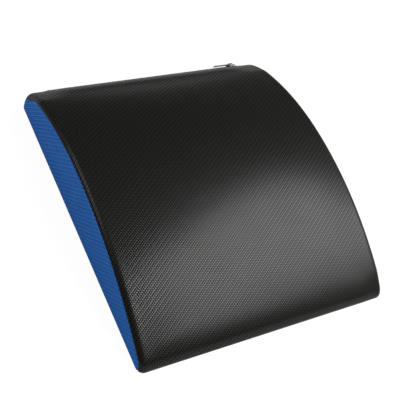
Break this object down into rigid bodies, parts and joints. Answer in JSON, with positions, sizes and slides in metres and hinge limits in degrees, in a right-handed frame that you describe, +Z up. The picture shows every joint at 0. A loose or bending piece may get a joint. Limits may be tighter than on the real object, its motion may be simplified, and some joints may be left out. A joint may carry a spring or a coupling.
{
  "type": "ab mat",
  "caption": "Wedge-arched foam sit-up mat in a sewn vinyl cover: black top, blue D-shaped sides, flat base and a zip across the heel.",
  "frame": {"origin": "on the floor plane, under the middle of the mat", "axes": "+Z up, +Y from the thin toe to the thick heel with its zip, X across the mat"},
  "size_m": [0.3236, 0.37, 0.078],
  "materials": {
    "black_vinyl": "satin",
    "blue_vinyl": "satin",
    "base_cloth": "matte",
    "foam": "matte",
    "black_thread": "matte",
    "zip_tape": "matte",
    "zip_nylon": "satin",
    "plated_metal": "satin"
  },
  "bodies": {
    "mat": {"top_cover": "black_vinyl", "heel_strip": "black_vinyl", "left_side_panel": "blue_vinyl", "right_side_panel": "blue_vinyl", "base_panel": "base_cloth", "foam_core": "foam", "base_seam_thread": "black_thread", "left_side_seam_thread": "black_thread", "right_side_seam_thread": "black_thread", "left_zip_end_thread": "black_thread", "right_zip_end_thread": "black_thread", "zip_topstitch_thread": "black_thread", "upper_zip_tape": "zip_tape", "lower_zip_tape": "zip_tape", "upper_zip_coil": "zip_nylon", "lower_zip_coil": "zip_nylon", "upper_zip_top_stop": "plated_metal", "lower_zip_top_stop": "plated_metal", "zip_bottom_stop": "plated_metal"},
    "slider": {"zip_slider": "plated_metal"},
    "pull_tab": {"zip_pull_tab": "plated_metal"}
  },
  "joints": [
    {"name": "slider_travel", "type": "slide", "parent": "mat", "child": "slider", "axis": [-1, 0, 0], "range_m": [0, 0.252]},
    {"name": "pull_tab_swing", "type": "hinge", "parent": "slider", "child": "pull_tab", "pos_m": [0.126, 0.18193, 0.02758], "axis": [0, 0.5082, -0.8612], "range_deg": [0, 180]}
  ]
}
